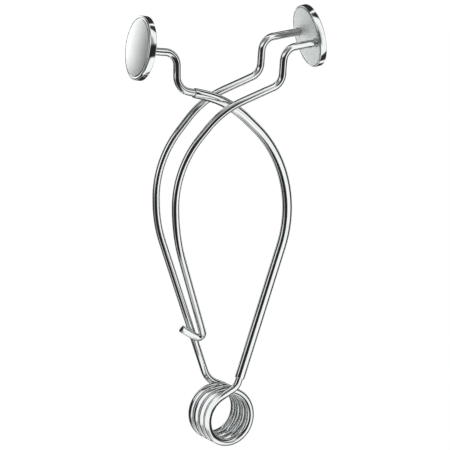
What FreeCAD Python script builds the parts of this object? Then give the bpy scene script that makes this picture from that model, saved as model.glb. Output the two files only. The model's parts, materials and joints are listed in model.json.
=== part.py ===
import FreeCAD, Part
import math
import os
import Sketcher
from FreeCAD import Vector

# A cross-arm spring clip. One hard spring wire makes both arms and the coil between them.
# +X runs from the left pad to the right pad, +Y along the coil's axis towards its rear end,
# and +Z up from the coil to the pads. The origin is the middle of the coil, on its axis.
# Heights and reaches are measured from that origin, to the centre line of the wire.

DIMENSIONS = {
    # Wire and sleeve
    "wire_diameter": 1.8,
    "sleeve_diameter": 2.4,
    "sleeve_clearance": 0.03,
    # Coil
    "coil_mean_diameter": 12.3,
    "coil_pitch": 2.5,
    "coil_turn_count": 4,
    "lead_angle": 25.0,
    "lead_gap": 0.1,
    # Left arm, shared by the rear wire and the hook wire
    "left_leg_reach": 1.1,
    "left_leg_radius": 6.0,
    "left_low_reach": 14.7,
    "left_low_height": 47.2,
    "left_low_radius": 30.0,
    "left_high_reach": 14.9,
    "left_high_height": 62.1,
    "left_high_radius": 23.0,
    "left_crown_reach": 2.3,
    "left_crown_height": 75.8,
    "left_crown_radius": 22.0,
    "left_bend_radius": 3.4,
    "left_bend_low_reach": 13.25,
    "left_bend_low_height": 80.7,
    "left_bend_high_reach": 13.9,
    "left_bend_high_height": 88.95,
    "left_stem_rise": 4.8,
    # Hook wire, the second wire of the left arm
    "hook_wire_drop": 1.0,
    "hook_wire_shift": 0.4,
    "hook_low_height": 45.8,
    "hook_low_radius": 28.0,
    "hook_clearance": 0.1,
    "hook_bend_reach": 2.7,
    "hook_bend_height": 17.2,
    "hook_bend_radius": 1.0,
    "hook_tip_reach": 9.25,
    "hook_tip_height": 21.45,
    # Right arm
    "right_leg_reach": 1.7,
    "right_leg_radius": 3.0,
    "right_bow_reach": 21.4,
    "right_bow_height": 56.5,
    "right_bow_radius": 26.8,
    "right_crown_reach": 1.4,
    "right_crown_height": 76.2,
    "right_crown_radius": 25.7,
    "neck_low_reach": 12.0,
    "neck_low_height": 80.0,
    "neck_low_radius": 3.9,
    "neck_high_reach": 11.7,
    "neck_high_height": 88.45,
    "neck_high_radius": 3.25,
    "neck_rise": 8.5,
    "sleeve_low_inset": 2.0,
    "sleeve_high_inset": 4.6,
    # Pads
    "pad_diameter": 15.0,
    "pad_rim_width": 0.4,
    "pad_rim_height": 1.7,
    "pad_crown_rise": 0.35,
    "pad_edge_radius": 0.3,
    "pad_plate_thickness": 0.9,
    "pad_clearance": 0.03,
    "pad_tilt": 10.0,
    "pad_yaw": 6.0,
    "left_pad_offset": 8.6,
    "left_pad_rise": 1.75,
    "right_pad_offset": 9.3,
    "right_pad_rise": 0.45,
    "stem_depth": 0.65,
    "braze_size": 0.4,
}

# What follows from the dimensions: the coil's ends, the lean of the right arm, and the wire tips.
LAYOUT = {
    "wire_radius": "Dimensions.wire_diameter / 2",
    "bore_radius": "wire_radius + Dimensions.sleeve_clearance",
    "coil_radius": "Dimensions.coil_mean_diameter / 2",
    "coil_sweep": "360 * Dimensions.coil_turn_count - 2 * Dimensions.lead_angle",
    "coil_half_length": "Dimensions.coil_pitch * coil_sweep / 720",
    "lead_sine": "sin(Dimensions.lead_angle * 1deg)",
    "lead_cosine": "cos(Dimensions.lead_angle * 1deg)",
    "lead_reach": "coil_radius * lead_sine - Dimensions.lead_gap * lead_cosine",
    "lead_height": "coil_radius * lead_cosine + Dimensions.lead_gap * lead_sine",
    "left_leg_height": "(coil_radius + Dimensions.left_leg_reach * lead_sine) / lead_cosine",
    "right_leg_height": "(coil_radius + Dimensions.right_leg_reach * lead_sine) / lead_cosine",
    "left_pad_reach": "Dimensions.neck_high_reach + Dimensions.left_pad_offset",
    "left_pad_height": "Dimensions.neck_high_height + Dimensions.left_pad_rise",
    "right_pad_reach": "Dimensions.left_bend_high_reach + Dimensions.right_pad_offset",
    "right_pad_height": "Dimensions.left_bend_high_height + Dimensions.right_pad_rise",
    "arm_slope": "coil_half_length / (left_pad_height - lead_height)",
    "arm_lean": "atan(arm_slope) / 1deg",
    "lean_cosine": "cos(arm_lean * 1deg)",
    "hook_depth": "coil_half_length - Dimensions.wire_diameter - Dimensions.hook_clearance",
    "pad_radius": "Dimensions.pad_diameter / 2",
    "plate_radius": "pad_radius - Dimensions.pad_rim_width",
    "left_rise": "tan(Dimensions.left_stem_rise * 1deg)",
    "neck_slope": "tan(Dimensions.neck_rise * 1deg)",
    "pad_along": "cos(Dimensions.pad_tilt * 1deg) * cos(Dimensions.pad_yaw * 1deg)",
    "pad_across": "cos(Dimensions.pad_tilt * 1deg) * sin(Dimensions.pad_yaw * 1deg)",
    "pad_upward": "sin(Dimensions.pad_tilt * 1deg)",
    "front_bend_height": "Dimensions.left_bend_high_height - Dimensions.hook_wire_drop",
    "front_bend_reach": "Dimensions.left_bend_high_reach + Dimensions.hook_wire_shift",
}


def tip_formula(pad, bend_reach, bend_height, slope, offset):
    """Reach of a stem's tip: where its sloping line is stem_depth inside the pad's inner face."""
    start = f"({bend_height} - {bend_reach} * {slope} - {pad}_pad_height)"
    face = f"Dimensions.stem_depth + pad_along * {pad}_pad_reach"
    return f"({face} + pad_across * {offset} - pad_upward * {start}) / (pad_along + pad_upward * {slope})"


LAYOUT["rear_tip_reach"] = tip_formula("right", "Dimensions.left_bend_high_reach",
                                       "Dimensions.left_bend_high_height", "left_rise", "coil_half_length")
LAYOUT["front_tip_reach"] = tip_formula("right", "front_bend_reach", "front_bend_height",
                                        "left_rise", "(0 - coil_half_length)")
LAYOUT["neck_tip_reach"] = tip_formula("left", "Dimensions.neck_high_reach",
                                       "Dimensions.neck_high_height", "neck_slope", "0")
LAYOUT["rear_tip_height"] = ("Dimensions.left_bend_high_height"
                             " + (rear_tip_reach - Dimensions.left_bend_high_reach) * left_rise")
LAYOUT["front_tip_height"] = "front_bend_height + (front_tip_reach - front_bend_reach) * left_rise"
LAYOUT["neck_tip_height"] = ("Dimensions.neck_high_height"
                             " + (neck_tip_reach - Dimensions.neck_high_reach) * neck_slope")
LAYOUT["neck_tip_depth"] = "(neck_tip_height - left_pad_height) * arm_slope"


def make_sheet(doc, name, rows):
    """Fill a spreadsheet with one named cell for each row."""
    sheet = doc.addObject("Spreadsheet::Sheet", name)
    for row, (alias, value) in enumerate(rows.items(), start=1):
        sheet.set(f"A{row}", alias.replace("_", " "))
        sheet.set(f"B{row}", f"={value}" if isinstance(value, str) else str(value))
        sheet.setAlias(f"B{row}", alias)
    doc.recompute()
    return sheet


def origin_plane(body, role):
    """One of a body's own origin planes, found by its role."""
    return next(item for item in body.Origin.OriginFeatures if item.Role == role)


def new_sketch(body, name, offset=None):
    """A sketch on the body's upright XZ plane, shifted by a placement expression."""
    sketch = body.newObject("Sketcher::SketchObject", name)
    sketch.AttachmentSupport = [(origin_plane(body, "XZ_Plane"), "")]
    sketch.MapMode = "FlatFace"
    if offset:
        sketch.setExpression("AttachmentOffset", offset)
    return sketch


def bind(sketch, constraint, name, expression):
    """Add a dimension to a sketch and tie it to an expression."""
    index = sketch.addConstraint(constraint)
    sketch.renameConstraint(index, name)
    sketch.setExpression(f"Constraints.{name}", expression)


def place_point(sketch, geometry, position, name, corner):
    """Hold one point of a sketch at a corner given as two expressions."""
    kinds = (("DistanceX", "across", -2), ("DistanceY", "up", -1))
    for (kind, word, axis), expression in zip(kinds, corner):
        value = float(sketch.evalExpression(expression))
        if abs(value) < 1e-9:
            sketch.addConstraint(Sketcher.Constraint("PointOnObject", geometry, position, axis))
        elif value > 0:
            held = Sketcher.Constraint(kind, -1, 1, geometry, position, value)
            bind(sketch, held, f"{name}_{word}", expression)
        else:
            held = Sketcher.Constraint(kind, geometry, position, -1, 1, -value)
            bind(sketch, held, f"{name}_{word}", f"-({expression})")


def corner_arc(before, corner, after, radius):
    """Tangent arc at a corner: its start, middle and end, and its centre."""
    back = (before - corner).normalize()
    ahead = (after - corner).normalize()
    half = back.getAngle(ahead) / 2
    inward = (back + ahead).normalize()
    centre = corner + inward * (radius / math.sin(half))
    setback = radius / math.tan(half)
    return corner + back * setback, centre - inward * radius, corner + ahead * setback, centre


def bent_path(sketch, corners, radii, insets=None):
    """Draw straight runs joined by tangent arcs, held by the corners where the runs would meet.

    With insets, the path starts and ends at those distances inside its first and last corner.
    """
    spots = [Vector(*[float(sketch.evalExpression(part)) for part in corner], 0) for corner in corners]
    sizes = [float(sketch.evalExpression(radius)) for radius in radii]
    arcs = [corner_arc(*spots[i:i + 3], size) for i, size in enumerate(sizes)]
    first, last = spots[0], spots[-1]
    if insets:
        first = first + (spots[1] - first).normalize() * float(sketch.evalExpression(insets[0]))
        last = last + (spots[-2] - last).normalize() * float(sketch.evalExpression(insets[1]))
    starts = [first] + [arc[2] for arc in arcs]
    ends = [arc[0] for arc in arcs] + [last]
    lines = [sketch.addGeometry(Part.LineSegment(a, b)) for a, b in zip(starts, ends)]
    for number, (arc, radius) in enumerate(zip(arcs, radii)):
        add_bend(sketch, arc, lines[number], lines[number + 1], number + 1, radius)
        point = sketch.addGeometry(Part.Point(spots[number + 1]), True)
        sketch.addConstraint(Sketcher.Constraint("PointOnObject", point, 1, lines[number]))
        sketch.addConstraint(Sketcher.Constraint("PointOnObject", point, 1, lines[number + 1]))
        place_point(sketch, point, 1, f"corner{number + 1}", corners[number + 1])
    for line, position, spot, name in ((lines[0], 1, 0, "first"), (lines[-1], 2, -1, "last")):
        if not insets:
            place_point(sketch, line, position, name, corners[spot])
            continue
        point = sketch.addGeometry(Part.Point(spots[spot]), True)
        place_point(sketch, point, 1, name, corners[spot])
        sketch.addConstraint(Sketcher.Constraint("PointOnObject", point, 1, line))
        distance = (spots[spot] - (first, last)[spot]).Length
        held = Sketcher.Constraint("Distance", point, 1, line, position, distance)
        bind(sketch, held, f"{name}_inset", insets[spot])
    if sketch.solve() != 0:
        raise RuntimeError(f"{sketch.Label} cannot be solved")


def add_bend(sketch, arc, line_in, line_out, number, radius):
    """Join two runs of a path with one tangent arc of a bound radius."""
    start, middle, end, _ = arc
    turns_left = (middle - start).cross(end - middle).z > 0
    index = sketch.addGeometry(Part.Arc(start, middle, end))
    entry, leaving = (1, 2) if turns_left else (2, 1)
    sketch.addConstraint(Sketcher.Constraint("Tangent", line_in, 2, index, entry))
    sketch.addConstraint(Sketcher.Constraint("Tangent", index, leaving, line_out, 1))
    value = float(sketch.evalExpression(radius))
    bind(sketch, Sketcher.Constraint("Radius", index, value), f"bend{number}", radius)


def sweep_round(body, path, radii):
    """Sweep a circle, or a ring of two circles, along a path sketch."""
    profile = body.newObject("Sketcher::SketchObject", "Section")
    profile.AttachmentSupport = [(path, "Edge1")]
    profile.MapMode = "NormalToEdge"
    profile.MapPathParameter = 0.0
    for number, radius in enumerate(radii):
        value = float(profile.evalExpression(radius))
        circle = profile.addGeometry(Part.Circle(Vector(0, 0, 0), Vector(0, 0, 1), value))
        profile.addConstraint(Sketcher.Constraint("Coincident", circle, 3, -1, 1))
        bind(profile, Sketcher.Constraint("Radius", circle, value), f"ring{number}", radius)
    pipe = body.newObject("PartDesign::AdditivePipe", "Sweep")
    pipe.Profile = profile
    pipe.Spine = path
    body.Tip = pipe


def make_rear_wire(doc):
    """The left arm's rear wire, from the coil's rear end to the right pad."""
    body = doc.addObject("PartDesign::Body", "rear_wire")
    path = new_sketch(body, "RearPath", "placement(vector(0; 0; -Layout.coil_half_length);"
                                        " rotation(0deg; 0deg; 0deg))")
    corners = [
        ("Layout.lead_reach", "Layout.lead_height"),
        ("-Dimensions.left_leg_reach", "Layout.left_leg_height"),
        ("-Dimensions.left_low_reach", "Dimensions.left_low_height"),
        ("-Dimensions.left_high_reach", "Dimensions.left_high_height"),
        ("-Dimensions.left_crown_reach", "Dimensions.left_crown_height"),
        ("Dimensions.left_bend_low_reach", "Dimensions.left_bend_low_height"),
        ("Dimensions.left_bend_high_reach", "Dimensions.left_bend_high_height"),
        ("Layout.rear_tip_reach", "Layout.rear_tip_height"),
    ]
    radii = [f"Dimensions.left_{word}_radius" for word in ("leg", "low", "high", "crown", "bend", "bend")]
    bent_path(path, corners, radii)
    sweep_round(body, path, ["Layout.wire_radius"])
    return body


ARM_PLANE = ("placement(vector(0; Layout.lead_height; Layout.coil_half_length);"
             " rotation(0deg; 0deg; -Layout.arm_lean * 1deg))")


def right_arm_corners():
    """Corners of the right arm in its leaning plane, measured up that plane from the coil's front end."""
    corners = [
        ("-Layout.lead_reach", "Layout.lead_height"),
        ("Dimensions.right_leg_reach", "Layout.right_leg_height"),
        ("Dimensions.right_bow_reach", "Dimensions.right_bow_height"),
        ("Dimensions.right_crown_reach", "Dimensions.right_crown_height"),
        ("-Dimensions.neck_low_reach", "Dimensions.neck_low_height"),
        ("-Dimensions.neck_high_reach", "Dimensions.neck_high_height"),
        ("-Layout.neck_tip_reach", "Layout.neck_tip_height"),
    ]
    return [(across, f"({height} - Layout.lead_height) / Layout.lean_cosine") for across, height in corners]


def make_arm_wire(doc):
    """The right arm's wire, from the coil's front end through the sleeve to the left pad."""
    body = doc.addObject("PartDesign::Body", "arm_wire")
    path = new_sketch(body, "ArmPath", ARM_PLANE)
    words = ("right_leg", "right_bow", "right_crown", "neck_low", "neck_high")
    bent_path(path, right_arm_corners(), [f"Dimensions.{word}_radius" for word in words])
    sweep_round(body, path, ["Layout.wire_radius"])
    return body


def make_arm_sleeve(doc):
    """The tube that covers the right arm's wire from above the coil to below the neck."""
    body = doc.addObject("PartDesign::Body", "arm_sleeve")
    path = new_sketch(body, "SleevePath", ARM_PLANE)
    radii = ["Dimensions.right_bow_radius", "Dimensions.right_crown_radius"]
    insets = ["Dimensions.sleeve_low_inset", "Dimensions.sleeve_high_inset"]
    bent_path(path, right_arm_corners()[1:5], radii, insets)
    sweep_round(body, path, ["Dimensions.sleeve_diameter / 2", "Layout.bore_radius"])
    return body


def make_hook_wire(doc, size, layout):
    """The left arm's front wire: from the right pad down to a hook around the rear wire.

    It bends out of one plane, so its path is a wire of lines and arcs in space.
    """
    front = -layout("coil_half_length")
    hook = layout("hook_depth")
    drop, shift = size("hook_wire_drop"), size("hook_wire_shift")
    corners = [
        Vector(-size("hook_tip_reach"), hook, size("hook_tip_height")),
        Vector(-size("hook_bend_reach"), hook, size("hook_bend_height")),
        Vector(-size("left_low_reach"), front, size("hook_low_height")),
        Vector(-size("left_high_reach"), front, size("left_high_height")),
        Vector(-size("left_crown_reach"), front, size("left_crown_height") - drop),
        Vector(size("left_bend_low_reach") + shift, front, size("left_bend_low_height") - drop),
        Vector(layout("front_bend_reach"), front, layout("front_bend_height")),
        Vector(layout("front_tip_reach"), front, layout("front_tip_height")),
    ]
    radii = [size("hook_bend_radius"), size("hook_low_radius")]
    radii += [size(f"left_{word}_radius") for word in ("high", "crown", "bend", "bend")]
    arcs = [corner_arc(*corners[i:i + 3], radius) for i, radius in enumerate(radii)]
    edges = []
    here = corners[0]
    for start, middle, end, _ in arcs:
        edges += [Part.makeLine(here, start), Part.Arc(start, middle, end).toShape()]
        here = end
    edges.append(Part.makeLine(here, corners[-1]))
    section = Part.makeCircle(layout("wire_radius"), corners[0], corners[1] - corners[0])
    wire = doc.addObject("Part::Feature", "hook_wire")
    wire.Shape = Part.Wire(edges).makePipeShell([Part.Wire(section)], True, False)
    return wire


def make_spring_coil(doc):
    """The coil: a left-handed helix along Y, from the rear lead to the front lead."""
    helix = doc.addObject("Part::Helix", "CoilPath")
    helix.LocalCoord = "Left-handed"
    helix.SegmentLength = 1.0
    helix.setExpression("Pitch", "Dimensions.coil_pitch")
    helix.setExpression("Height", "2 * Layout.coil_half_length")
    helix.setExpression("Radius", "Layout.coil_radius")
    helix.setExpression("Placement", "placement(vector(0; Layout.coil_half_length; 0);"
                                     " rotation(0deg; Dimensions.lead_angle * 1deg - 90deg; 90deg))")
    section = doc.addObject("Part::Circle", "CoilSection")
    section.setExpression("Radius", "Layout.wire_radius")
    start = ("Layout.coil_radius * Layout.lead_sine; Layout.coil_half_length;"
             " Layout.coil_radius * Layout.lead_cosine")
    slope = "atan(Dimensions.coil_pitch / (2 * pi * Layout.coil_radius))"
    section.setExpression("Placement", f"placement(vector({start});"
                                       f" rotation(0deg; 90deg + Dimensions.lead_angle * 1deg; {slope}))")
    doc.recompute()
    coil = doc.addObject("Part::Sweep", "spring_coil")
    coil.Sections = [section]
    coil.Spine = (helix, [f"Edge{i + 1}" for i in range(len(helix.Shape.Edges))])
    coil.Solid = True
    coil.Frenet = True
    return coil


PADS = {
    "right": {
        "side": 1,
        "stems": {
            "rear": ("Layout.rear_tip_reach", "Layout.coil_half_length", "Layout.rear_tip_height"),
            "front": ("Layout.front_tip_reach", "-Layout.coil_half_length", "Layout.front_tip_height"),
        },
        "rise": "Dimensions.left_stem_rise * 1deg",
    },
    "left": {
        "side": -1,
        "stems": {"neck": ("-Layout.neck_tip_reach", "Layout.neck_tip_depth", "Layout.neck_tip_height")},
        "rise": "Dimensions.neck_rise * 1deg",
    },
}


def pad_placement(name):
    """A pad's placement: its own Z is the outward normal, from the middle of its inner face."""
    side = PADS[name]["side"]
    spot = f"{side} * Layout.{name}_pad_reach; 0; Layout.{name}_pad_height"
    turn = f"-Dimensions.pad_yaw * 1deg; {side} * (90deg - Dimensions.pad_tilt * 1deg); 0deg"
    return f"placement(vector({spot}); rotation({turn}))"


def stem_hole(doc, name, stem):
    """A drill that follows a stem, from just past its tip to well outside the pad."""
    pad = PADS[name]
    across, depth, up = pad["stems"][stem]
    spot = (f"{across} + {pad['side']} * Dimensions.pad_clearance * cos({pad['rise']}); {depth};"
            f" {up} + Dimensions.pad_clearance * sin({pad['rise']})")
    drill = doc.addObject("Part::Cylinder", f"{stem}_drill")
    drill.setExpression("Radius", "Layout.wire_radius + Dimensions.pad_clearance")
    drill.setExpression("Height", "Dimensions.pad_diameter / 2")
    drill.setExpression("Placement", f"placement(vector({spot});"
                                     f" rotation(0deg; {-pad['side']} * (90deg + {pad['rise']}); 0deg))")
    return drill


def make_pad_plate(doc, name):
    """The flat plate that closes a pad's inner side, drilled for its stems."""
    plate = doc.addObject("Part::Cylinder", f"{name}_plate_blank")
    plate.setExpression("Radius", "Layout.plate_radius")
    plate.setExpression("Height", "Dimensions.pad_plate_thickness")
    plate.setExpression("Placement", pad_placement(name))
    drills = {}
    for stem in PADS[name]["stems"]:
        drills[stem] = stem_hole(doc, name, stem)
        cut = doc.addObject("Part::Cut", f"{name}_plate_{stem}_cut")
        cut.Base = plate
        cut.Tool = drills[stem]
        plate = cut
    plate.Label = f"{name}_pad_plate"
    return plate, drills


def make_pad_cap(doc, name):
    """The domed cap of a pad, with a rim that holds the plate."""
    body = doc.addObject("PartDesign::Body", f"{name}_pad_cap")
    sketch = new_sketch(body, f"{name}_cap_outline")
    seat = "Layout.plate_radius + Dimensions.pad_clearance"
    floor = "Dimensions.pad_plate_thickness + Dimensions.pad_clearance"
    outline = [("0", floor), (seat, floor), (seat, "0"), ("Layout.pad_radius", "0"),
               ("Layout.pad_radius", "Dimensions.pad_rim_height"),
               ("0", "Dimensions.pad_rim_height + Dimensions.pad_crown_rise")]
    spots = [Vector(*[float(sketch.evalExpression(part)) for part in corner], 0) for corner in outline]
    order = spots[:5]
    lines = [sketch.addGeometry(Part.LineSegment(a, b)) for a, b in zip(order, order[1:])]
    rim, top = spots[4], spots[5]
    rise = top.y - rim.y
    radius = (rim.x ** 2 + rise ** 2) / (2 * rise)
    half = math.asin(rim.x / radius) / 2
    middle = Vector(radius * math.sin(half), top.y - radius + radius * math.cos(half), 0)
    crown = sketch.addGeometry(Part.Arc(rim, middle, top))
    axis_line = sketch.addGeometry(Part.LineSegment(top, spots[0]))
    for first, second in zip(lines, lines[1:]):
        sketch.addConstraint(Sketcher.Constraint("Coincident", first, 2, second, 1))
    sketch.addConstraint(Sketcher.Constraint("Coincident", lines[-1], 2, crown, 1))
    sketch.addConstraint(Sketcher.Constraint("Coincident", crown, 2, axis_line, 1))
    sketch.addConstraint(Sketcher.Constraint("Coincident", axis_line, 2, lines[0], 1))
    sketch.addConstraint(Sketcher.Constraint("PointOnObject", crown, 3, -2))
    for number, corner in enumerate(outline[:4]):
        place_point(sketch, lines[number], 1, f"corner{number}", corner)
    place_point(sketch, crown, 1, "rim", outline[4])
    place_point(sketch, crown, 2, "top", outline[5])
    turned = body.newObject("PartDesign::Revolution", "Turned")
    turned.Profile = sketch
    turned.ReferenceAxis = (sketch, ["V_Axis"])
    turned.Angle = 360.0
    doc.recompute()
    edge = next(f"Edge{i + 1}" for i, item in enumerate(turned.Shape.Edges) if is_rim(item, rim))
    rounding = body.newObject("PartDesign::Fillet", "Rounding")
    rounding.Base = (turned, [edge])
    rounding.setExpression("Radius", "Dimensions.pad_edge_radius")
    body.Tip = rounding
    body.setExpression("Placement", pad_placement(name))
    return body


def is_rim(edge, rim):
    """True for the circular edge where a cap's side meets its crown."""
    circle = isinstance(edge.Curve, Part.Circle)
    return circle and abs(edge.Curve.Radius - rim.x) < 1e-6 and abs(edge.Curve.Center.z - rim.y) < 1e-6


def make_braze(doc, name, stem, drill):
    """The small ring of braze metal around a stem, on the pad's inner face."""
    pad = PADS[name]
    across, depth, up = pad["stems"][stem]
    rise = pad["rise"]
    back = f"Dimensions.stem_depth / (Layout.pad_along * cos({rise}) + Layout.pad_upward * sin({rise}))"
    spot = f"{across} - {pad['side']} * {back} * cos({rise}); {depth}; {up} - {back} * sin({rise})"
    turn = f"-Dimensions.pad_yaw * 1deg; {-pad['side']} * (90deg + Dimensions.pad_tilt * 1deg); 0deg"
    cone = doc.addObject("Part::Cone", f"{stem}_braze_blank")
    cone.setExpression("Radius1", "Layout.wire_radius + Dimensions.braze_size")
    cone.setExpression("Radius2", "Layout.wire_radius + Dimensions.braze_size / 4")
    cone.setExpression("Height", "Dimensions.braze_size")
    cone.setExpression("Placement", f"placement(vector({spot}); rotation({turn}))")
    ring = doc.addObject("Part::Cut", f"{stem}_braze")
    ring.Base = cone
    ring.Tool = drill
    return ring


def make_pad(doc, name):
    """All the pieces of one pad: plate, cap and the braze at its stems."""
    plate, drills = make_pad_plate(doc, name)
    rings = [make_braze(doc, name, stem, drill) for stem, drill in drills.items()]
    return [plate, make_pad_cap(doc, name)] + rings


def check(doc, pieces):
    """Stop unless every object is up to date and every piece is a valid solid."""
    for item in doc.Objects:
        if "Invalid" in item.State or "Error" in item.State:
            raise RuntimeError(f"{item.Label} failed: {item.State}")
    for piece in pieces:
        if piece.Shape.isNull() or not piece.Shape.isValid() or len(piece.Shape.Solids) != 1:
            raise RuntimeError(f"{piece.Label} is not one valid solid")


def main():
    """Build the clip and write one STEP file for each piece."""
    doc = FreeCAD.newDocument("SpringClip")
    dimensions = make_sheet(doc, "Dimensions", DIMENSIONS)
    layout = make_sheet(doc, "Layout", LAYOUT)
    pieces = [
        make_spring_coil(doc),
        make_rear_wire(doc),
        make_arm_wire(doc),
        make_arm_sleeve(doc),
        make_hook_wire(doc, dimensions.get, layout.get),
    ]
    pieces += make_pad(doc, "right")
    pieces += make_pad(doc, "left")
    doc.recompute()
    check(doc, pieces)
    os.makedirs("parts", exist_ok=True)
    for piece in pieces:
        piece.Shape.exportStep(f"parts/{piece.Label}.step")
        print(f"{piece.Label}: {piece.Shape.Volume:.3f} mm3")


main()
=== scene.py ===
import json
import math

import bmesh
import bpy
from bpy.props import FloatProperty, FloatVectorProperty, IntProperty, PointerProperty
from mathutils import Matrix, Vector


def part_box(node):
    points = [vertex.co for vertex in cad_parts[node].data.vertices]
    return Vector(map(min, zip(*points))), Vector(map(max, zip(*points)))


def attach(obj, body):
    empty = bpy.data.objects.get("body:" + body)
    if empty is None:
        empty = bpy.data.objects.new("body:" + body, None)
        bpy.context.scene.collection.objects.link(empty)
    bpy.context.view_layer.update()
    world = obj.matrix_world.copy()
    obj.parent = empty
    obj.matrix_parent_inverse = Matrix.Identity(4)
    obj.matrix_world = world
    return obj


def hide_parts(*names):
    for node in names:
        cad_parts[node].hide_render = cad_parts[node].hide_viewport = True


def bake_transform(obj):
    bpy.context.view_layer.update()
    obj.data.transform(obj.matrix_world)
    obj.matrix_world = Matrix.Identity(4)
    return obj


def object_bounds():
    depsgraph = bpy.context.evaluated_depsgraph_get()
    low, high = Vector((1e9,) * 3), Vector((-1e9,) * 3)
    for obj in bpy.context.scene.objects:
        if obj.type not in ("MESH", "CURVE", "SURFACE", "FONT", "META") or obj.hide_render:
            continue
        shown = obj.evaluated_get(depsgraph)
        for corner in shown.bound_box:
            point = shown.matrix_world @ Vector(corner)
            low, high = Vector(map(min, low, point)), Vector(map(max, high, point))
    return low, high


bl_info = {
    "name": "Cross-arm spring clip",
    "version": (1, 0, 0),
    "blender": (4, 5, 0),
    "location": "3D View > Sidebar > Spring clip",
    "description": "Dresses the packed spring clip: coil, arms, sleeve, pads and studio",
    "category": "Object",
}

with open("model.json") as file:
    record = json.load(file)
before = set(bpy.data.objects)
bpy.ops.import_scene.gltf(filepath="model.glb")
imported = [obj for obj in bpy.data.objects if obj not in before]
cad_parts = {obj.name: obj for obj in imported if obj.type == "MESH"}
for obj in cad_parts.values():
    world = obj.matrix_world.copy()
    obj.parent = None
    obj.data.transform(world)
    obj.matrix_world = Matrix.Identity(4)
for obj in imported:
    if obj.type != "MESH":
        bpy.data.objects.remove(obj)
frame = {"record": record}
CAD_LOW, CAD_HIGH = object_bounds()
COIL_LOW, COIL_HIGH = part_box("spring_coil")
REAR_LOW, REAR_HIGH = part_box("rear_wire")
MOUNTS = {mount["name"]: mount for mount in frame["record"]["mounts"]}
MM = 0.001

# Corners of the bent wires, in millimetres: reach to the right and height above the coil's axis,
# and the bend's radius.
LEFT_ARM = {
    "leg": (-1.1, 7.30, 6.0),
    "low": (-14.7, 47.2, 30.0),
    "high": (-14.9, 62.1, 23.0),
    "crown": (-2.3, 75.8, 22.0),
    "bend_low": (13.25, 80.7, 3.4),
    "bend_high": (13.9, 88.95, 3.4),
    "tip": (24.30, 89.82, 0.0),
}
HOOK_ARM = {
    "hook_bend": (-2.7, 17.2, 1.0),
    "low": (-14.7, 45.8, 28.0),
    "high": (-14.9, 62.1, 23.0),
    "crown": (-2.3, 74.8, 22.0),
    "bend_low": (13.65, 79.7, 3.4),
    "bend_high": (14.3, 87.95, 3.4),
    "tip": (23.48, 88.72, 0.0),
}
# The hook's cut end as reach and height, and its gap to the rear wire, in millimetres.
HOOK_TIP = (-9.25, 21.45)
HOOK_CLEARANCE = 0.1
RIGHT_ARM = {
    "leg": (1.7, 7.58, 3.0),
    "bow": (21.4, 56.5, 26.8),
    "crown": (1.4, 76.2, 25.7),
    "neck_low": (-12.0, 80.0, 3.9),
    "neck_high": (-11.7, 88.45, 3.25),
    "tip": (-21.03, 89.84, 0.0),
}
# From the leg and from the neck to the sleeve's two ends, along the wire, in millimetres.
SLEEVE_INSETS = (2.0, 4.6)

# Play between a wire and its tube, and between a plate and its cap.
PLAY = 0.03 * MM
# Depth at which a fillet of braze starts inside its pad.
FILLET_ROOT = 0.1 * MM
# Rounding of a plate's edge.
PLATE_EDGE = 0.18 * MM
# Roundings of a cap's lip, as a share of its wall; just under half, so that two of them fit.
LIP_SHARE = 0.48
# Width of the groove round a dome, and of the band finely divided for it, as shares of the bead's.
GROOVE_SHARE = 0.3
BAND_SHARE = 1.8
# Where a cut end's bevel has its middle section, as a share of the bevel.
BEVEL_MIDDLE = 0.3
# Radius of a fillet's hidden core, as a share of its wire's.
CORE_SHARE = 0.8
# Angle over which the coil takes up its pitch at each end.
COIL_EASING = math.radians(60)

# Sides of a wire, a pad and a fillet, and steps along a bead and a dome.
WIRE_SIDES = 32
PAD_SIDES = 128
FILLET_SIDES = 48
BEAD_STEPS = 18
DOME_STEPS = 12
# Longest run and widest turn from one section of a wire to the next, and the coil's own turn.
ROUTE_STEP = 1.2 * MM
ROUTE_TURN = math.radians(5)
COIL_STEP = math.radians(4)
# An edge is sharp from this angle between its faces.
SHARP_ANGLE = math.radians(40)

# Grain coordinate in metres for each radian round an axis.
GRAIN_TURN = 0.01
# How far each finish's grain is stretched: along a wire, round a dome, and round a rim.
ALONG_WIRE = (1.0, 1.0, 0.012)
ROUND_DOME = (1.0, 0.0, 1.0)
ROUND_RIM = (0.0, 0.0, 1.0)
# Depth in metres of each finish's fine relief.
DRAWN_RELIEF = 0.6e-6
BUFFED_RELIEF = 0.15e-6
SATIN_RELIEF = 1.2e-6
BRAZE_RELIEF = 8e-6


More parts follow.
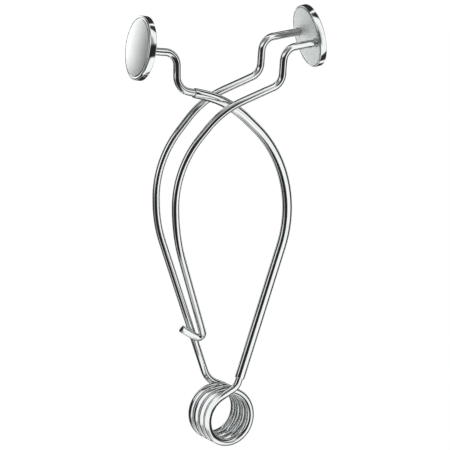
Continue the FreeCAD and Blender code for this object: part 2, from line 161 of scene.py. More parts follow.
class SpringClipSizes(bpy.types.PropertyGroup):
    """Sizes of the wire, coil, sleeve and pads."""

    wire_diameter: FloatProperty(
        name="Wire diameter", description="Diameter of the spring wire and of the hook wire",
        default=REAR_HIGH.y - REAR_LOW.y, unit="LENGTH", precision=5)
    cut_bevel: FloatProperty(
        name="Cut bevel", description="Bevel left by tumbling on a cut wire end",
        default=0.22 * MM, unit="LENGTH", precision=5)
    coil_mean_diameter: FloatProperty(
        name="Coil diameter", description="Diameter of the coil on the wire's centre line",
        default=COIL_HIGH.x - COIL_LOW.x - (REAR_HIGH.y - REAR_LOW.y), unit="LENGTH", precision=5)
    coil_half_length: FloatProperty(
        name="Coil half length",
        description="Half of the coil's length along its axis, on the centre line",
        default=(REAR_HIGH.y + REAR_LOW.y) / 2, unit="LENGTH", precision=5)
    coil_turns: IntProperty(
        name="Coil turns", description="Whole turns of the coil, before the leads take their share",
        default=4)
    lead_angle: FloatProperty(
        name="Lead angle", description="Angle from the coil's top at which each arm leaves it",
        default=math.radians(25), subtype="ANGLE")
    sleeve_diameter: FloatProperty(
        name="Sleeve diameter", description="Outer diameter of the tube on the right arm",
        default=2.4 * MM, unit="LENGTH", precision=5)
    sleeve_lip: FloatProperty(
        name="Sleeve lip", description="Rounding of the sleeve's two ends",
        default=0.12 * MM, unit="LENGTH", precision=5)
    pad_diameter: FloatProperty(
        name="Pad diameter", description="Outer diameter of each pad",
        default=15.0 * MM, unit="LENGTH", precision=5)
    pad_rim_width: FloatProperty(
        name="Rim width", description="Width of the rim that holds the plate",
        default=0.4 * MM, unit="LENGTH", precision=5)
    pad_rim_height: FloatProperty(
        name="Rim height", description="Height of the pad's side",
        default=1.7 * MM, unit="LENGTH", precision=5)
    pad_crown_rise: FloatProperty(
        name="Crown rise", description="Rise of the pad's domed face above its side",
        default=0.35 * MM, unit="LENGTH", precision=5)
    pad_edge_radius: FloatProperty(
        name="Edge radius", description="Rounding between the pad's side and its domed face",
        default=0.3 * MM, unit="LENGTH", precision=5)
    pad_bead_width: FloatProperty(
        name="Bead width", description="From a pad's rounded edge to the groove around its dome",
        default=0.42 * MM, unit="LENGTH", precision=5)
    pad_groove_depth: FloatProperty(
        name="Groove depth", description="Depth of the groove around the dome",
        default=0.09 * MM, unit="LENGTH", precision=5)
    plate_thickness: FloatProperty(
        name="Plate thickness", description="Thickness of the plate that closes the pad",
        default=0.9 * MM, unit="LENGTH", precision=5)
    braze_size: FloatProperty(
        name="Braze size", description="Width and height of the braze around a stem",
        default=0.28 * MM, unit="LENGTH", precision=5)


class SpringClipFinishes(bpy.types.PropertyGroup):
    """Colours and gloss of the plated and satin surfaces."""

    plating_colour: FloatVectorProperty(
        name="Plating colour", description="Colour of the bright plating",
        default=(0.92, 0.94, 0.94), subtype="COLOR", min=0, max=1)
    plating_shade: FloatVectorProperty(
        name="Plating shade", description="Colour of the plating where it is thinner",
        default=(0.84, 0.87, 0.87), subtype="COLOR", min=0, max=1)
    plating_roughness: FloatProperty(
        name="Plating roughness", description="Roughness of the bright plating",
        default=0.05, subtype="FACTOR")
    cap_roughness: FloatProperty(
        name="Cap roughness", description="Roughness of the pads' domed faces",
        default=0.30, subtype="FACTOR")
    plate_colour: FloatVectorProperty(
        name="Plate colour", description="Colour of the satin plates",
        default=(0.62, 0.65, 0.64), subtype="COLOR", min=0, max=1)
    plate_roughness: FloatProperty(
        name="Plate roughness", description="Roughness of the satin plates",
        default=0.62, subtype="FACTOR")
    braze_colour: FloatVectorProperty(
        name="Braze colour", description="Colour of the braze metal",
        default=(0.72, 0.74, 0.73), subtype="COLOR", min=0, max=1)


class SpringClipStudio(bpy.types.PropertyGroup):
    """Camera and light of the studio."""

    azimuth: FloatProperty(
        name="Azimuth", description="Camera's turn round the clip; 0 looks along +Y",
        default=math.radians(-29), subtype="ANGLE")
    elevation: FloatProperty(
        name="Elevation", description="Camera's angle above the horizon",
        default=math.radians(13), subtype="ANGLE")
    distance: FloatProperty(
        name="Distance", description="From the camera to the point that it aims at",
        default=0.8, unit="LENGTH")
    lens: FloatProperty(name="Lens", description="Focal length in millimetres", default=271.2)
    aim: FloatVectorProperty(
        name="Aim", description="Point that the camera looks at",
        default=(0.0004, -0.0012, 0.0464), subtype="TRANSLATION", precision=4)
    floor_drop: FloatProperty(
        name="Floor drop", description="Height of the held clip above the floor",
        default=0.12, unit="LENGTH")
    floor_colour: FloatProperty(
        name="Floor colour", description="Brightness of the floor's own pale colour",
        default=0.9, subtype="FACTOR")
    floor_glow: FloatProperty(
        name="Floor glow", description="Lifts the floor to the backdrop's white where it is seen",
        default=0.3, subtype="FACTOR")
    room_light: FloatProperty(
        name="Room light", description="Strength of the white room that lights the clip",
        default=0.8, subtype="FACTOR")


def sizes():
    """The clip's sizes in this scene."""
    return bpy.context.scene.spring_clip_sizes


def finishes():
    """The clip's finishes in this scene."""
    return bpy.context.scene.spring_clip_finishes


# Materials


def new_finish(name, colour, roughness):
    """A metal with its even values on the shader itself; returns its material, tree and shader."""
    material = bpy.data.materials.new(name)
    material.use_nodes = True
    tree = material.node_tree
    shader = tree.nodes["Principled BSDF"]
    shader.inputs["Metallic"].default_value = 1.0
    shader.inputs["Base Color"].default_value = (*colour, 1.0)
    shader.inputs["Roughness"].default_value = roughness
    return material, tree, shader


def grain(tree, stretch, scale):
    """Noise laid on the piece's own grain coordinates, stretched along them."""
    place = tree.nodes.new("ShaderNodeAttribute")
    place.attribute_name = "grain"
    mapping = tree.nodes.new("ShaderNodeMapping")
    mapping.inputs["Scale"].default_value = stretch
    noise = tree.nodes.new("ShaderNodeTexNoise")
    noise.inputs["Scale"].default_value = scale
    noise.inputs["Detail"].default_value = 3.0
    tree.links.new(place.outputs["Vector"], mapping.inputs["Vector"])
    tree.links.new(mapping.outputs["Vector"], noise.inputs["Vector"])
    return noise.outputs["Fac"]


def clouds(tree, scale, detail=4.0):
    """Soft patches in the clip's own space."""
    place = tree.nodes.new("ShaderNodeTexCoord")
    noise = tree.nodes.new("ShaderNodeTexNoise")
    noise.inputs["Scale"].default_value = scale
    noise.inputs["Detail"].default_value = detail
    tree.links.new(place.outputs["Object"], noise.inputs["Vector"])
    return noise.outputs["Fac"]


def spread(tree, source, low, high, start=0.3, end=0.7):
    """Map a value onto a range; the defaults are the span that a noise mostly keeps to."""
    node = tree.nodes.new("ShaderNodeMapRange")
    node.inputs["From Min"].default_value = start
    node.inputs["From Max"].default_value = end
    node.inputs["To Min"].default_value = low
    node.inputs["To Max"].default_value = high
    tree.links.new(source, node.inputs["Value"])
    return node.outputs["Result"]


def add(tree, first, second):
    """The sum of two values."""
    node = tree.nodes.new("ShaderNodeMath")
    node.operation = "ADD"
    tree.links.new(first, node.inputs[0])
    tree.links.new(second, node.inputs[1])
    return node.outputs["Value"]


def tint(tree, shader, source, first, second):
    """Vary the base colour between two colours."""
    mix = tree.nodes.new("ShaderNodeMix")
    mix.data_type = "RGBA"
    mix.inputs["A"].default_value = (*first, 1.0)
    mix.inputs["B"].default_value = (*second, 1.0)
    tree.links.new(source, mix.inputs["Factor"])
    tree.links.new(mix.outputs["Result"], shader.inputs["Base Color"])


def emboss(tree, shader, source, depth):
    """Raise a fine relief of the given depth in metres."""
    bump = tree.nodes.new("ShaderNodeBump")
    bump.inputs["Strength"].default_value = 1.0
    bump.inputs["Distance"].default_value = depth
    tree.links.new(source, bump.inputs["Height"])
    tree.links.new(bump.outputs["Normal"], shader.inputs["Normal"])


def plated_wire():
    """Bright plating over drawn wire: long faint drawing lines, soft patches of thinner plate."""
    look = finishes()
    material, tree, shader = new_finish("plated_wire", look.plating_colour, look.plating_roughness)
    lines = grain(tree, ALONG_WIRE, scale=2600.0)
    patches = clouds(tree, scale=160.0)
    gloss = spread(tree, lines, look.plating_roughness, look.plating_roughness + 0.06)
    dull = spread(tree, patches, 0.0, 0.05)
    tree.links.new(add(tree, gloss, dull), shader.inputs["Roughness"])
    tint(tree, shader, spread(tree, patches, 0.0, 1.0), look.plating_colour, look.plating_shade)
    emboss(tree, shader, lines, DRAWN_RELIEF)
    return material


def plated_cap():
    """Buffed and plated cap: a soft bright face with faint circular buffing marks."""
    look = finishes()
    material, tree, shader = new_finish("plated_cap", look.plating_colour, look.cap_roughness)
    rings = grain(tree, ROUND_DOME, scale=3000.0)
    patches = clouds(tree, scale=120.0)
    gloss = spread(tree, rings, look.cap_roughness - 0.03, look.cap_roughness + 0.03)
    tree.links.new(gloss, shader.inputs["Roughness"])
    tint(tree, shader, spread(tree, patches, 0.0, 0.5), look.plating_colour, look.plating_shade)
    emboss(tree, shader, rings, BUFFED_RELIEF)
    return material


def polished_rim():
    """Mirror-bright plating on the cap's side and lip, with faint lines from the spinning."""
    look = finishes()
    material, tree, shader = new_finish("polished_rim", look.plating_colour, look.plating_roughness)
    rings = grain(tree, ROUND_RIM, scale=5000.0)
    patches = clouds(tree, scale=200.0)
    gloss = spread(tree, rings, look.plating_roughness, look.plating_roughness + 0.08)
    tree.links.new(gloss, shader.inputs["Roughness"])
    tint(tree, shader, spread(tree, patches, 0.0, 1.0), look.plating_colour, look.plating_shade)
    emboss(tree, shader, rings, DRAWN_RELIEF)
    return material


def satin_plate():
    """Satin plate: an even fine grain, with a little tone from handling."""
    look = finishes()
    material, tree, shader = new_finish("satin_plate", look.plate_colour, look.plate_roughness)
    fine = clouds(tree, scale=6000.0, detail=2.0)
    patches = clouds(tree, scale=220.0)
    gloss = spread(tree, fine, look.plate_roughness - 0.06, look.plate_roughness + 0.08)
    tree.links.new(gloss, shader.inputs["Roughness"])
    darker = tuple(0.88 * part for part in look.plate_colour)
    tint(tree, shader, spread(tree, patches, 0.0, 0.6), look.plate_colour, darker)
    emboss(tree, shader, fine, SATIN_RELIEF)
    return material


def braze_metal():
    """Braze metal: duller than the plating, slightly lumpy where it froze."""
    look = finishes()
    material, tree, shader = new_finish("braze_metal", look.braze_colour, 0.28)
    lumps = clouds(tree, scale=1500.0, detail=2.0)
    tree.links.new(spread(tree, lumps, 0.22, 0.38), shader.inputs["Roughness"])
    darker = tuple(0.8 * part for part in look.braze_colour)
    tint(tree, shader, spread(tree, lumps, 0.0, 1.0), look.braze_colour, darker)
    emboss(tree, shader, lumps, BRAZE_RELIEF)
    return material


def finish_of(maker):
    """A finish by its maker, made once and then shared."""
    return bpy.data.materials.get(maker.__name__) or maker()


# Shapes


def around(sides):
    """Angles of the corners round a section."""
    return [math.tau * side / sides for side in range(sides)]


def add_piece(name, vertices, faces, grains, maker):
    """Turn vertices and faces into a smooth piece with grain coordinates and its finish."""
    mesh = bpy.data.meshes.new(name)
    mesh.from_pydata(vertices, [], faces)
    shape = bmesh.new()
    shape.from_mesh(mesh)
    bmesh.ops.recalc_face_normals(shape, faces=shape.faces)
    for face in shape.faces:
        face.smooth = True
    for edge in shape.edges:
        edge.smooth = edge.calc_face_angle(0.0) < SHARP_ANGLE
    shape.to_mesh(mesh)
    shape.free()
    place = mesh.attributes.new("grain", "FLOAT_VECTOR", "POINT")
    place.data.foreach_set("vector", [part for spot in grains for part in spot])
    mesh.materials.append(finish_of(maker))
    piece = bpy.data.objects.new(name, mesh)
    bpy.context.scene.collection.objects.link(piece)
    return piece


def bent_route(corners, radii):
    """Points and directions along straight runs joined by tangent arcs."""
    points, directions = [], []

    def run(start, end):
        ahead = (end - start).normalized()
        steps = max(1, round((end - start).length / ROUTE_STEP))
        for step in range(steps + 1):
            points.append(start.lerp(end, step / steps))
            directions.append(ahead)

    here = corners[0]
    for before, corner, after, radius in zip(corners, corners[1:], corners[2:], radii):
        back, ahead = (before - corner).normalized(), (after - corner).normalized()
        half = back.angle(ahead) / 2
        centre = corner + (back + ahead).normalized() * (radius / math.sin(half))
        start = corner + back * (radius / math.tan(half))
        run(here, start)
        swing = math.pi - 2 * half
        steps = max(2, math.ceil(swing / min(ROUTE_TURN, ROUTE_STEP / radius)))
        arm, along = start - centre, -back
        for step in range(1, steps):
            angle = swing * step / steps
            points.append(centre + arm * math.cos(angle) + along * radius * math.sin(angle))
            directions.append(along * math.cos(angle) - arm.normalized() * math.sin(angle))
        here = corner + ahead * (radius / math.tan(half))
    run(here, corners[-1])
    return points, directions


def spokes_along(directions, sides):
    """Unit spokes of the section at each point of a route, which don't twist along it."""
    spoke = directions[0].orthogonal().normalized()
    rings = []
    for ahead in directions:
        spoke = (spoke - ahead * spoke.dot(ahead)).normalized()
        other = ahead.cross(spoke)
        rings.append([spoke * math.cos(turn) + other * math.sin(turn) for turn in around(sides)])
    return rings


def stitch(rows, sides, closed=False):
    """Quads between consecutive rings of vertices."""
    pairs = [(row, row + 1) for row in range(rows - 1)] + ([(rows - 1, 0)] if closed else [])
    faces = []
    for low, high in pairs:
        for side in range(sides):
            after = (side + 1) % sides
            faces.append((low * sides + side, low * sides + after,
                          high * sides + after, high * sides + side))
    return faces


def sweep_wire(name, points, directions, radius, maker, bevel=0.0):
    """A round wire with flat cut ends; the first may be bevelled."""
    profile = [(place, ahead, radius) for place, ahead in zip(points, directions)]
    if bevel:
        place, ahead, _ = profile[0]
        inner = (place, ahead, radius - bevel)
        middle = (place + ahead * bevel * BEVEL_MIDDLE, ahead, radius - bevel * BEVEL_MIDDLE)
        outer = (place + ahead * bevel, ahead, radius)
        profile[0:1] = [inner, middle, outer]
    rings = spokes_along([ahead for _, ahead, _ in profile], WIRE_SIDES)
    vertices, grains, run = [], [], 0.0
    for number, ((place, _, size), spokes) in enumerate(zip(profile, rings)):
        run += (place - profile[max(number - 1, 0)][0]).length
        vertices += [place + spoke * size for spoke in spokes]
        grains += [(size * math.cos(turn), size * math.sin(turn), run)
                   for turn in around(WIRE_SIDES)]
    faces = stitch(len(profile), WIRE_SIDES)
    faces.append(tuple(range(WIRE_SIDES)))
    faces.append(tuple(range(len(vertices) - WIRE_SIDES, len(vertices))))
    return add_piece(name, vertices, faces, grains, maker)


def sweep_tube(name, points, directions, outer, bore, lip, maker):
    """An open tube with rounded lips at both ends."""
    rings = spokes_along(directions, WIRE_SIDES)
    last = len(points) - 1
    rows = []
    wall = outer - bore
    lip = min(lip, wall / 2)
    for end, sign in ((0, 1), (last, -1)):
        ahead = directions[end] * sign
        rounding = [(lip * (1 - math.cos(turn)), lip * (1 - math.sin(turn)))
                    for turn in (math.radians(step) for step in (0, 30, 60, 90))]
        outside = [(end, ahead * back, outer - inset) for back, inset in rounding]
        inside = [(end, ahead * back, bore + inset) for back, inset in rounding]
        if end == 0:
            rows += list(reversed(inside)) + outside
            rows += [(spot, Vector(), outer) for spot in range(1, last)]
        else:
            rows += list(reversed(outside)) + inside
    rows += [(spot, Vector(), bore) for spot in range(last - 1, 0, -1)]
    runs = [0.0]
    for before, after in zip(points, points[1:]):
        runs.append(runs[-1] + (after - before).length)
    vertices, grains = [], []
    for spot, shift, size in rows:
        vertices += [points[spot] + shift + spoke * size for spoke in rings[spot]]
        grains += [(size * math.cos(turn), size * math.sin(turn), runs[spot])
                   for turn in around(WIRE_SIDES)]
    return add_piece(name, vertices, stitch(len(rows), WIRE_SIDES, closed=True), grains, maker)


def turn_profile(name, origin, axis, profile, maker):
    """Revolve a profile of (radius, height) pairs about an axis; radius 0 closes it in a point."""
    across = axis.orthogonal().normalized()
    other = axis.cross(across)
    vertices, grains, rows = [], [], []
    for radius, height in profile:
        rows.append((len(vertices), radius > 0))
        for angle in around(PAD_SIDES) if radius > 0 else (0.0,):
            spoke = across * math.cos(angle) + other * math.sin(angle)
            vertices.append(origin + axis * height + spoke * radius)
            grains.append((radius, angle * GRAIN_TURN, height))
    faces = []
    for (low, low_ring), (high, high_ring) in zip(rows, rows[1:]):
        for side in range(PAD_SIDES):
            after = (side + 1) % PAD_SIDES
            face = [low + side, low + after] if low_ring else [low]
            face += [high + after, high + side] if high_ring else [high]
            faces.append(tuple(face))
    return add_piece(name, vertices, faces, grains, maker)


def rounded(corner, start, end, radius, steps):
    """Points of a round between two edges of a profile, which leave its corner in two ways."""
    corner, first, second = Vector(corner), Vector(start).normalized(), Vector(end).normalized()
    half = first.angle(second) / 2
    centre = corner + (first + second).normalized() * (radius / math.sin(half))
    arms = [corner + way * (radius / math.tan(half)) - centre for way in (first, second)]
    begin = math.atan2(arms[0].y, arms[0].x)
    swing = (math.atan2(arms[1].y, arms[1].x) - begin + math.pi) % math.tau - math.pi
    turns = [begin + swing * step / steps for step in range(steps + 1)]
    return [(centre.x + radius * math.cos(turn), centre.y + radius * math.sin(turn))
            for turn in turns]


# Routes


def arm_corners(bends, depth_of):
    """Corners in metres of an arm's bends, each at the depth given for its height."""
    return [Vector((reach * MM, depth_of(height * MM), height * MM))
            for reach, height, _ in bends.values()]


def bend_radii(bends):
    """Radii in metres of an arm's bends, without its tip."""
    return [radius * MM for _, _, radius in list(bends.values())[:-1]]


def coil_end(side):
    """Where the coil's centre line ends: side is 1 at the rear and -1 at the front."""
    size = sizes()
    radius = size.coil_mean_diameter / 2
    return Vector((side * radius * math.sin(size.lead_angle), side * size.coil_half_length,
                   radius * math.cos(size.lead_angle)))


def lean(height):
    """Depth of the right arm's leaning plane at a height."""
    start, top = coil_end(-1), RIGHT_ARM["tip"][1] * MM
    return start.y * (top - height) / (top - start.z)


def right_arm_corners():
    """Corners of the right arm, from the coil's front end to the left pad."""
    return [coil_end(-1)] + arm_corners(RIGHT_ARM, lean)


def eased(share, ease):
    """Progress and rate of a motion that starts and ends gently, over a share at each end."""
    rate = 1 / (1 - ease)
    if share < ease:
        return rate * share * share / (2 * ease), rate * share / ease
    if share > 1 - ease:
        progress, slowing = eased(1 - share, ease)
        return 1 - progress, slowing
    return rate * (share - ease / 2), rate


class SPRINGCLIP_OT_coil(bpy.types.Operator):
    """Wind the coil, which twists between the two arms"""

    bl_idname = "spring_clip.coil"
    bl_label = "Coil"

    def execute(self, context):
        size = sizes()
        radius, half = size.coil_mean_diameter / 2, size.coil_half_length
        start = math.pi / 2 - size.lead_angle
        sweep = math.tau * size.coil_turns - 2 * size.lead_angle
        steps = round(sweep / COIL_STEP)
        easing = COIL_EASING / sweep
        points, directions = [], []
        for step in range(steps + 1):
            share = step / steps
            angle = start - sweep * share
            progress, rate = eased(share, easing)
            points.append(Vector((radius * math.cos(angle), half * (1 - 2 * progress),
                                  radius * math.sin(angle))))
            directions.append(Vector((radius * math.sin(angle) * sweep, -2 * half * rate,
                                      -radius * math.cos(angle) * sweep)).normalized())
        coil = sweep_wire("coil", points, directions, size.wire_diameter / 2, plated_wire)
        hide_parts("spring_coil")
        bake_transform(coil)
        return {"FINISHED"}


class SPRINGCLIP_OT_arms(bpy.types.Operator):
    """Bend the three arm wires: the rear wire, the hook wire and the right arm's wire"""

    bl_idname = "spring_clip.arms"
    bl_label = "Arm wires"

    def execute(self, context):
        size = sizes()
        half, radius, bevel = size.coil_half_length, size.wire_diameter / 2, size.cut_bevel
        rear = [coil_end(1)] + arm_corners(LEFT_ARM, lambda height: half)
        hook_depth = half - size.wire_diameter - HOOK_CLEARANCE * MM
        hook = arm_corners(HOOK_ARM, lambda height: -half)
        hook[0].y = hook_depth
        hook.insert(0, Vector((HOOK_TIP[0] * MM, hook_depth, HOOK_TIP[1] * MM)))
        wires = (
            ("rear_arm", rear, LEFT_ARM, 0.0, "rear_wire", "spring_wire", "left_arm"),
            ("hook_arm", hook, HOOK_ARM, bevel, "hook_wire", "hook_wire", "left_arm"),
            ("right_arm", right_arm_corners(), RIGHT_ARM, 0.0, "arm_wire", "arm_wire", "right_arm"),
        )
        for name, corners, bends, cut, node, slot, body in wires:
            points, directions = bent_route(corners, bend_radii(bends))
            wire = sweep_wire(name, points, directions, radius, plated_wire, cut)
            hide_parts(node)
            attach(wire, body)
        return {"FINISHED"}


class SPRINGCLIP_OT_sleeve(bpy.types.Operator):
    """Slide the tube over the right arm's wire"""

    bl_idname = "spring_clip.sleeve"
    bl_label = "Sleeve"

    def execute(self, context):
        size = sizes()
        corners = right_arm_corners()[1:5]
        low, high = (inset * MM for inset in SLEEVE_INSETS)
        corners[0] = corners[0] + (corners[1] - corners[0]).normalized() * low
        corners[-1] = corners[-1] + (corners[-2] - corners[-1]).normalized() * high
        points, directions = bent_route(corners, bend_radii(RIGHT_ARM)[1:3])
        bore = size.wire_diameter / 2 + PLAY
        tube = sweep_tube("sleeve", points, directions, size.sleeve_diameter / 2, bore,
                          size.sleeve_lip, plated_wire)
        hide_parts("arm_sleeve")
        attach(tube, "right_arm")
        return {"FINISHED"}


PADS = {
    "left": {"body": "right_arm", "mount": "left_pad_face"},
    "right": {"body": "left_arm", "mount": "right_pad_face"},
}


def pad_place(name):
    """Middle of a pad's inner face, and the pad's outward axis."""
    mount = MOUNTS[PADS[name]["mount"]]
    axis = Vector(mount["axis"]).normalized()
    depth = sizes().pad_rim_height + sizes().pad_crown_rise
    return Vector(mount["pos_m"]) - axis * depth, axis


def cap_profile():
    """Half section of a cap: floor, lip around the plate, side, rolled edge, groove and dome."""
    size = sizes()
    outer = size.pad_diameter / 2
    seat = outer - size.pad_rim_width + PLAY
    floor = size.plate_thickness + PLAY
    rise, height = size.pad_crown_rise, size.pad_rim_height
    dome = (outer * outer + rise * rise) / (2 * rise)
    lip = (outer - seat) * LIP_SHARE
    profile = [(0.0, floor), (seat, floor)]
    profile += rounded((seat, 0.0), (0, 1), (1, 0), lip, 4)
    profile += rounded((outer, 0.0), (-1, 0), (0, 1), lip, 4)
    profile += rounded((outer, height), (0, -1), (rise - dome, outer), size.pad_edge_radius, 6)
    start = profile[-1][0]
    inside = start - size.pad_bead_width * BAND_SHARE
    radii = [start + (inside - start) * step / BEAD_STEPS for step in range(1, BEAD_STEPS + 1)]
    radii += [inside * (1 - step / DOME_STEPS) for step in range(1, DOME_STEPS)] + [0.0]
    for radius in radii:
        share = (radius - start + size.pad_bead_width) / (size.pad_bead_width * GROOVE_SHARE)
        dip = size.pad_groove_depth * math.exp(-share * share)
        crown = rise - dome + math.sqrt(dome * dome - radius * radius)
        profile.append((radius, height + crown - dip))
    return profile


def plate_profile():
    """Half section of a plate: a flat face with a softened edge."""
    size = sizes()
    edge = size.pad_diameter / 2 - size.pad_rim_width
    inner = [(0.0, 0.0)] + [(edge * share, 0.0) for share in (0.2, 0.4, 0.6, 0.8)]
    return inner + rounded((edge, 0.0), (-1, 0), (0, 1), PLATE_EDGE, 4) + [
        (edge, size.plate_thickness), (0.0, size.plate_thickness)]


class SPRINGCLIP_OT_pads(bpy.types.Operator):
    """Turn the two pads: a domed cap and the plate that it holds"""

    bl_idname = "spring_clip.pads"
    bl_label = "Pads"

    def execute(self, context):
        size = sizes()
        dome_edge = size.pad_diameter / 2 - size.pad_edge_radius - size.pad_bead_width
        for name, pad in PADS.items():
            origin, axis = pad_place(name)
            cap = turn_profile(f"{name}_cap", origin, axis, cap_profile(), plated_cap)
            cap.data.materials.append(finish_of(polished_rim))
            for face in cap.data.polygons:
                spot = face.center - origin
                height = spot.dot(axis)
                if height < size.pad_rim_height / 2 or (spot - axis * height).length > dome_edge:
                    face.material_index = 1
            plate = turn_profile(f"{name}_plate", origin, axis, plate_profile(), satin_plate)
            for piece, kind in ((cap, "cap"), (plate, "plate")):
                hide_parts(f"{name}_pad_{kind}")
                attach(piece, pad["body"])
        return {"FINISHED"}


# Each stem's pad and the bends of its wire, and for the two on the right pad their side of it:
# 1 at the rear and -1 in front.
STEMS = {
    "rear": {"pad": "right", "bends": LEFT_ARM, "side": 1},
    "front": {"pad": "right", "bends": HOOK_ARM, "side": -1},
    "neck": {"pad": "left", "bends": RIGHT_ARM},
}


class SPRINGCLIP_OT_braze(bpy.types.Operator):
    """Run a small fillet of braze metal round each stem, where it enters its pad"""

    bl_idname = "spring_clip.braze"
    bl_label = "Braze"

    def execute(self, context):
        size = sizes()
        wire, reach = size.wire_diameter / 2, size.braze_size
        for name, stem in STEMS.items():
            origin, axis = pad_place(stem["pad"])
            before, tip = [Vector((x * MM, 0, z * MM))
                           for x, z, _ in list(stem["bends"].values())[-2:]]
            if stem["pad"] == "right":
                before.y = tip.y = stem["side"] * size.coil_half_length
            else:
                before.y, tip.y = lean(before.z), lean(tip.z)
            ahead = (tip - before).normalized()
            entry = before + ahead * ((origin - before).dot(axis) / ahead.dot(axis))
            across = axis.orthogonal().normalized()
            other = axis.cross(across)
            core = wire * CORE_SHARE
            rows = [(core, -FILLET_ROOT)]
            rows += [(wire + reach * (1 - math.sin(turn)), reach * (1 - math.cos(turn)))
                     for turn in (math.radians(step) for step in range(0, 91, 15))]
            rows += [(core, reach)]
            vertices, grains = [], []
            for radius, height in rows:
                centre = entry - ahead * (height / ahead.dot(axis))
                for turn in around(FILLET_SIDES):
                    spoke = across * math.cos(turn) + other * math.sin(turn)
                    vertices.append(centre + spoke * radius)
                    grains.append((radius, turn * GRAIN_TURN, height))
            faces = stitch(len(rows), FILLET_SIDES, closed=True)
            fillet = add_piece(f"{name}_fillet", vertices, faces, grains, braze_metal)
            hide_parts(f"{name}_braze")
            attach(fillet, PADS[stem["pad"]]["body"])
        return {"FINISHED"}


# Stage

# Glowing cards round the clip, seen only in its reflections, where they paint the dark and grey
# streaks
# on the metal: near and far edge in degrees to the right of the camera's side, lowest and highest
# edge in degrees above the horizon, softness in degrees, shade as the strength of the card's glow,
# distance from the clip's middle in metres, and degrees that the card leans to the right for each
# degree that it rises.
CARDS = {
    "front_card": (-55, 25, -58, 56, 10, 0.02, 0.075, 0.2),
    "neck_card": (6, 62, 2, 56, 10, 0.02, 0.08, 0.0),
    "slope_card": (0, 52, 22, 62, 12, 0.30, 0.148, 0.0),
    "right_card": (78, 134, -85, 85, 7, 0.03, 0.155, 0.0),
    "back_card": (146, 214, -85, 85, 6, 0.03, 0.155, 0.0),
    "far_card": (226, 290, -85, 85, 8, 0.03, 0.155, 0.0),
    "under_card": (-70, 24, -80, -24, 18, 0.42, 0.160, 0.0),
    "left_card": (-112, -6, -50, 16, 28, 0.28, 0.163, 0.0),
    "high_card": (-120, 52, 42, 89, 18, 0.30, 0.166, 0.0),
}
# Cards near one part of the clip, in the same terms, after the place in millimetres that they
# surround. Round the coil they glow only in its reflections: coil_card is a painted white
# highlight, and ring_card and lead_card are painted dark reflections.
NEAR_CARDS = {
    "coil_card": ((0, 0, 0), -62, 4, -26, 62, 8, 1.0, 0.0118, 0.0),
    "ring_card": ((0, 0, 0), 2, 58, -42, 14, 10, 0.02, 0.0122, 0.0),
    "lead_card": ((0, 0, 0), -112, -54, -44, 30, 10, 0.02, 0.019, 0.0),
}
# Soft lamps, each for one piece: degrees to the right of the camera's side, degrees above the
# horizon, side of the square in metres, brightness, where 1 is the backdrop's own white, and piece.
LAMPS = {
    "cap_lamp": (-140, 5, 0.060, 0.78, "left_cap"),
    "plate_lamp": (-140, -20, 0.12, 1.9, "right_plate"),
    "side_lamp": (119, -9, 0.08, 1.1, "right_cap"),
}
# From a lamp to the middle of the piece that it lights, in metres.
LAMP_DISTANCE = 0.12
# Half of the square floor's side, in metres.
FLOOR_HALF = 4.0
# Columns and rows of a card's mesh.
CARD_GRID = (48, 32)


def toward(azimuth, elevation):
    """Unit vector from the clip towards an azimuth and elevation."""
    return Vector((math.sin(azimuth) * math.cos(elevation),
                   -math.cos(azimuth) * math.cos(elevation), math.sin(elevation)))


def card_felt(name, shade):
    """A card's glow of even strength, seen only in reflections as a painted reflection, which fades
    to clear where the card's cover does.
    """
    material = bpy.data.materials.new(name)
    material.use_nodes = True
    tree = material.node_tree
    tree.nodes.remove(tree.nodes["Principled BSDF"])
    # An even glow seen only by reflections: a painted reflection of a dark or pale card.
    painted_reflection = tree.nodes.new("ShaderNodeEmission")
    painted_reflection.inputs["Color"].default_value = (1.0, 1.0, 1.0, 1.0)
    painted_reflection.inputs["Strength"].default_value = shade
    clear = tree.nodes.new("ShaderNodeBsdfTransparent")
    mix = tree.nodes.new("ShaderNodeMixShader")
    cover = tree.nodes.new("ShaderNodeAttribute")
    cover.attribute_name = "cover"
    tree.links.new(cover.outputs["Fac"], mix.inputs["Fac"])
    tree.links.new(clear.outputs[0], mix.inputs[1])
    tree.links.new(painted_reflection.outputs[0], mix.inputs[2])
    tree.links.new(mix.outputs[0], tree.nodes["Material Output"].inputs["Surface"])
    return material


def add_card(name, middle, near, far, low, high, soft, shade, reach, leaning):
    """A curved card with soft edges, on a sphere round a middle."""
    studio = bpy.context.scene.spring_clip_studio
    columns, rows = CARD_GRID
    vertices, faces, fade = [], [], []
    for column in range(columns + 1):
        for row in range(rows + 1):
            turn = near + (far - near) * column / columns
            rise = low + (high - low) * row / rows
            vertices.append(middle + toward(
                studio.azimuth + math.radians(turn + leaning * rise), math.radians(rise)) * reach)
            edge = min(turn - near, far - turn, rise - low, high - rise)
            share = min(1.0, edge / soft)
            fade.append(share * share * (3 - 2 * share))
    for column in range(columns):
        for row in range(rows):
            corner = column * (rows + 1) + row
            faces.append((corner, corner + 1, corner + rows + 2, corner + rows + 1))
    mesh = bpy.data.meshes.new(name)
    mesh.from_pydata(vertices, [], faces)
    cover = mesh.attributes.new("cover", "FLOAT", "POINT")
    cover.data.foreach_set("value", fade)
    mesh.materials.append(card_felt(name, shade))
    card = bpy.data.objects.new(name, mesh)
    bpy.context.scene.collection.objects.link(card)
    card.visible_camera = card.visible_diffuse = card.visible_shadow = False


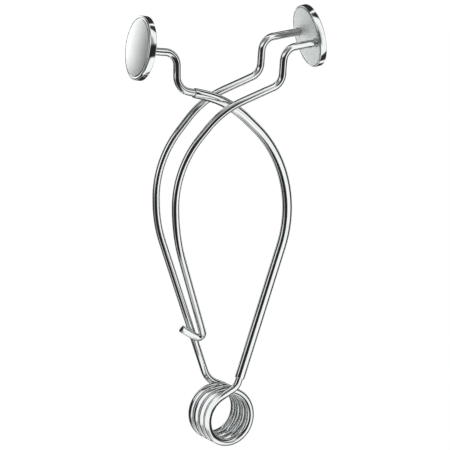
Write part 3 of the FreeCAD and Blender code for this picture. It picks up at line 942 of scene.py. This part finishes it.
def add_lamp(name, turn, rise, side, brightness, lit):
    """A square soft lamp that faces one piece and lights only that."""
    studio = bpy.context.scene.spring_clip_studio
    piece = bpy.data.objects[lit]
    middle = sum((Vector(corner) for corner in piece.bound_box), Vector()) / 8
    data = bpy.data.lights.new(name, "AREA")
    data.shape = "SQUARE"
    data.size = side
    data.energy = brightness * math.pi * side * side
    lamp = bpy.data.objects.new(name, data)
    bpy.context.scene.collection.objects.link(lamp)
    away = toward(studio.azimuth + math.radians(turn), math.radians(rise))
    lamp.location = middle + away * LAMP_DISTANCE
    lamp.rotation_mode = "QUATERNION"
    lamp.rotation_quaternion = away.to_track_quat("Z", "Y")
    lamp.visible_camera = False
    lamp.light_linking.receiver_collection = bpy.data.collections.new(name)
    lamp.light_linking.receiver_collection.objects.link(piece)


def shown(tree):
    """1 where the camera or a reflection looks, and 0 elsewhere."""
    path = tree.nodes.new("ShaderNodeLightPath")
    level = path.outputs["Is Camera Ray"]
    for ray in ("Is Glossy Ray", "Is Transmission Ray"):
        node = tree.nodes.new("ShaderNodeMath")
        node.operation = "MAXIMUM"
        tree.links.new(level, node.inputs[0])
        tree.links.new(path.outputs[ray], node.inputs[1])
        level = node.outputs["Value"]
    return level


def add_floor(height):
    """A plain pale floor that keeps the clip's shadow and meets the backdrop without an edge."""
    studio = bpy.context.scene.spring_clip_studio
    half = FLOOR_HALF
    mesh = bpy.data.meshes.new("floor")
    mesh.from_pydata([(-half, -half, height), (half, -half, height), (half, half, height),
                      (-half, half, height)], [], [(0, 1, 2, 3)])
    material = bpy.data.materials.new("floor")
    material.use_nodes = True
    tree = material.node_tree
    shader = tree.nodes["Principled BSDF"]
    shader.inputs["Base Color"].default_value = (*[studio.floor_colour] * 3, 1.0)
    shader.inputs["Roughness"].default_value = 0.9
    shader.inputs["Specular IOR Level"].default_value = 0.0
    shader.inputs["Emission Color"].default_value = (1.0, 1.0, 1.0, 1.0)
    glow = spread(tree, shown(tree), 0.0, studio.floor_glow, start=0.0, end=1.0)
    tree.links.new(glow, shader.inputs["Emission Strength"])
    mesh.materials.append(material)
    floor = bpy.data.objects.new("floor", mesh)
    bpy.context.scene.collection.objects.link(floor)


class SPRINGCLIP_OT_stage(bpy.types.Operator):
    """Set up the pale floor, the soft light, the cards and the camera"""

    bl_idname = "spring_clip.stage"
    bl_label = "Stage"

    def execute(self, context):
        scene = context.scene
        studio = scene.spring_clip_studio
        world = bpy.data.worlds.new("studio")
        scene.world = world
        world.use_nodes = True
        tree = world.node_tree
        background = tree.nodes["Background"]
        background.inputs["Color"].default_value = (1, 1, 1, 1)
        level = spread(tree, shown(tree), studio.room_light, 1.0, start=0.0, end=1.0)
        tree.links.new(level, background.inputs["Strength"])
        add_floor(CAD_LOW[2] - studio.floor_drop)
        for name, card in CARDS.items():
            add_card(name, Vector(studio.aim), *card)
        for name, (place, *card) in NEAR_CARDS.items():
            add_card(name, Vector(place) * MM, *card)
        for name, lamp in LAMPS.items():
            add_lamp(name, *lamp)
        self.add_camera(scene, studio)
        scene.view_settings.view_transform = "Standard"
        return {"FINISHED"}

    def add_camera(self, scene, studio):
        """The camera, aimed at the clip from the studio's azimuth and elevation."""
        data = bpy.data.cameras.new("camera")
        data.sensor_width = 36
        data.lens = studio.lens
        camera = bpy.data.objects.new("camera", data)
        scene.collection.objects.link(camera)
        back = toward(studio.azimuth, studio.elevation)
        camera.location = Vector(studio.aim) + back * studio.distance
        camera.rotation_mode = "QUATERNION"
        camera.rotation_quaternion = (-back).to_track_quat("-Z", "Y")
        scene.camera = camera


class SPRINGCLIP_PT_panel(bpy.types.Panel):
    """Sizes, finishes and steps of the spring clip"""

    bl_idname = "SPRINGCLIP_PT_panel"
    bl_label = "Spring clip"
    bl_space_type = "VIEW_3D"
    bl_region_type = "UI"
    bl_category = "Spring clip"

    def draw(self, context):
        layout = self.layout
        for group in (context.scene.spring_clip_sizes, context.scene.spring_clip_finishes,
                      context.scene.spring_clip_studio):
            box = layout.box()
            for name in group.__annotations__:
                box.prop(group, name)
        for step in STEPS:
            layout.operator(step.bl_idname)


GROUPS = {
    "spring_clip_sizes": SpringClipSizes,
    "spring_clip_finishes": SpringClipFinishes,
    "spring_clip_studio": SpringClipStudio,
}
STEPS = (SPRINGCLIP_OT_coil, SPRINGCLIP_OT_arms, SPRINGCLIP_OT_sleeve, SPRINGCLIP_OT_pads,
         SPRINGCLIP_OT_braze, SPRINGCLIP_OT_stage)
CLASSES = (*GROUPS.values(), *STEPS, SPRINGCLIP_PT_panel)


def register():
    """Register the classes and hang the property groups on the scene."""
    for item in CLASSES:
        bpy.utils.register_class(item)
    for name, group in GROUPS.items():
        setattr(bpy.types.Scene, name, PointerProperty(type=group))


def unregister():
    """Take the property groups and classes away again."""
    for name in GROUPS:
        delattr(bpy.types.Scene, name)
    for item in reversed(CLASSES):
        bpy.utils.unregister_class(item)


def main():
    """Dress the clip and set its stage."""
    register()
    for step in STEPS:
        package, name = step.bl_idname.split(".")
        getattr(getattr(bpy.ops, package), name)()


if __name__ == "__main__":
    main()
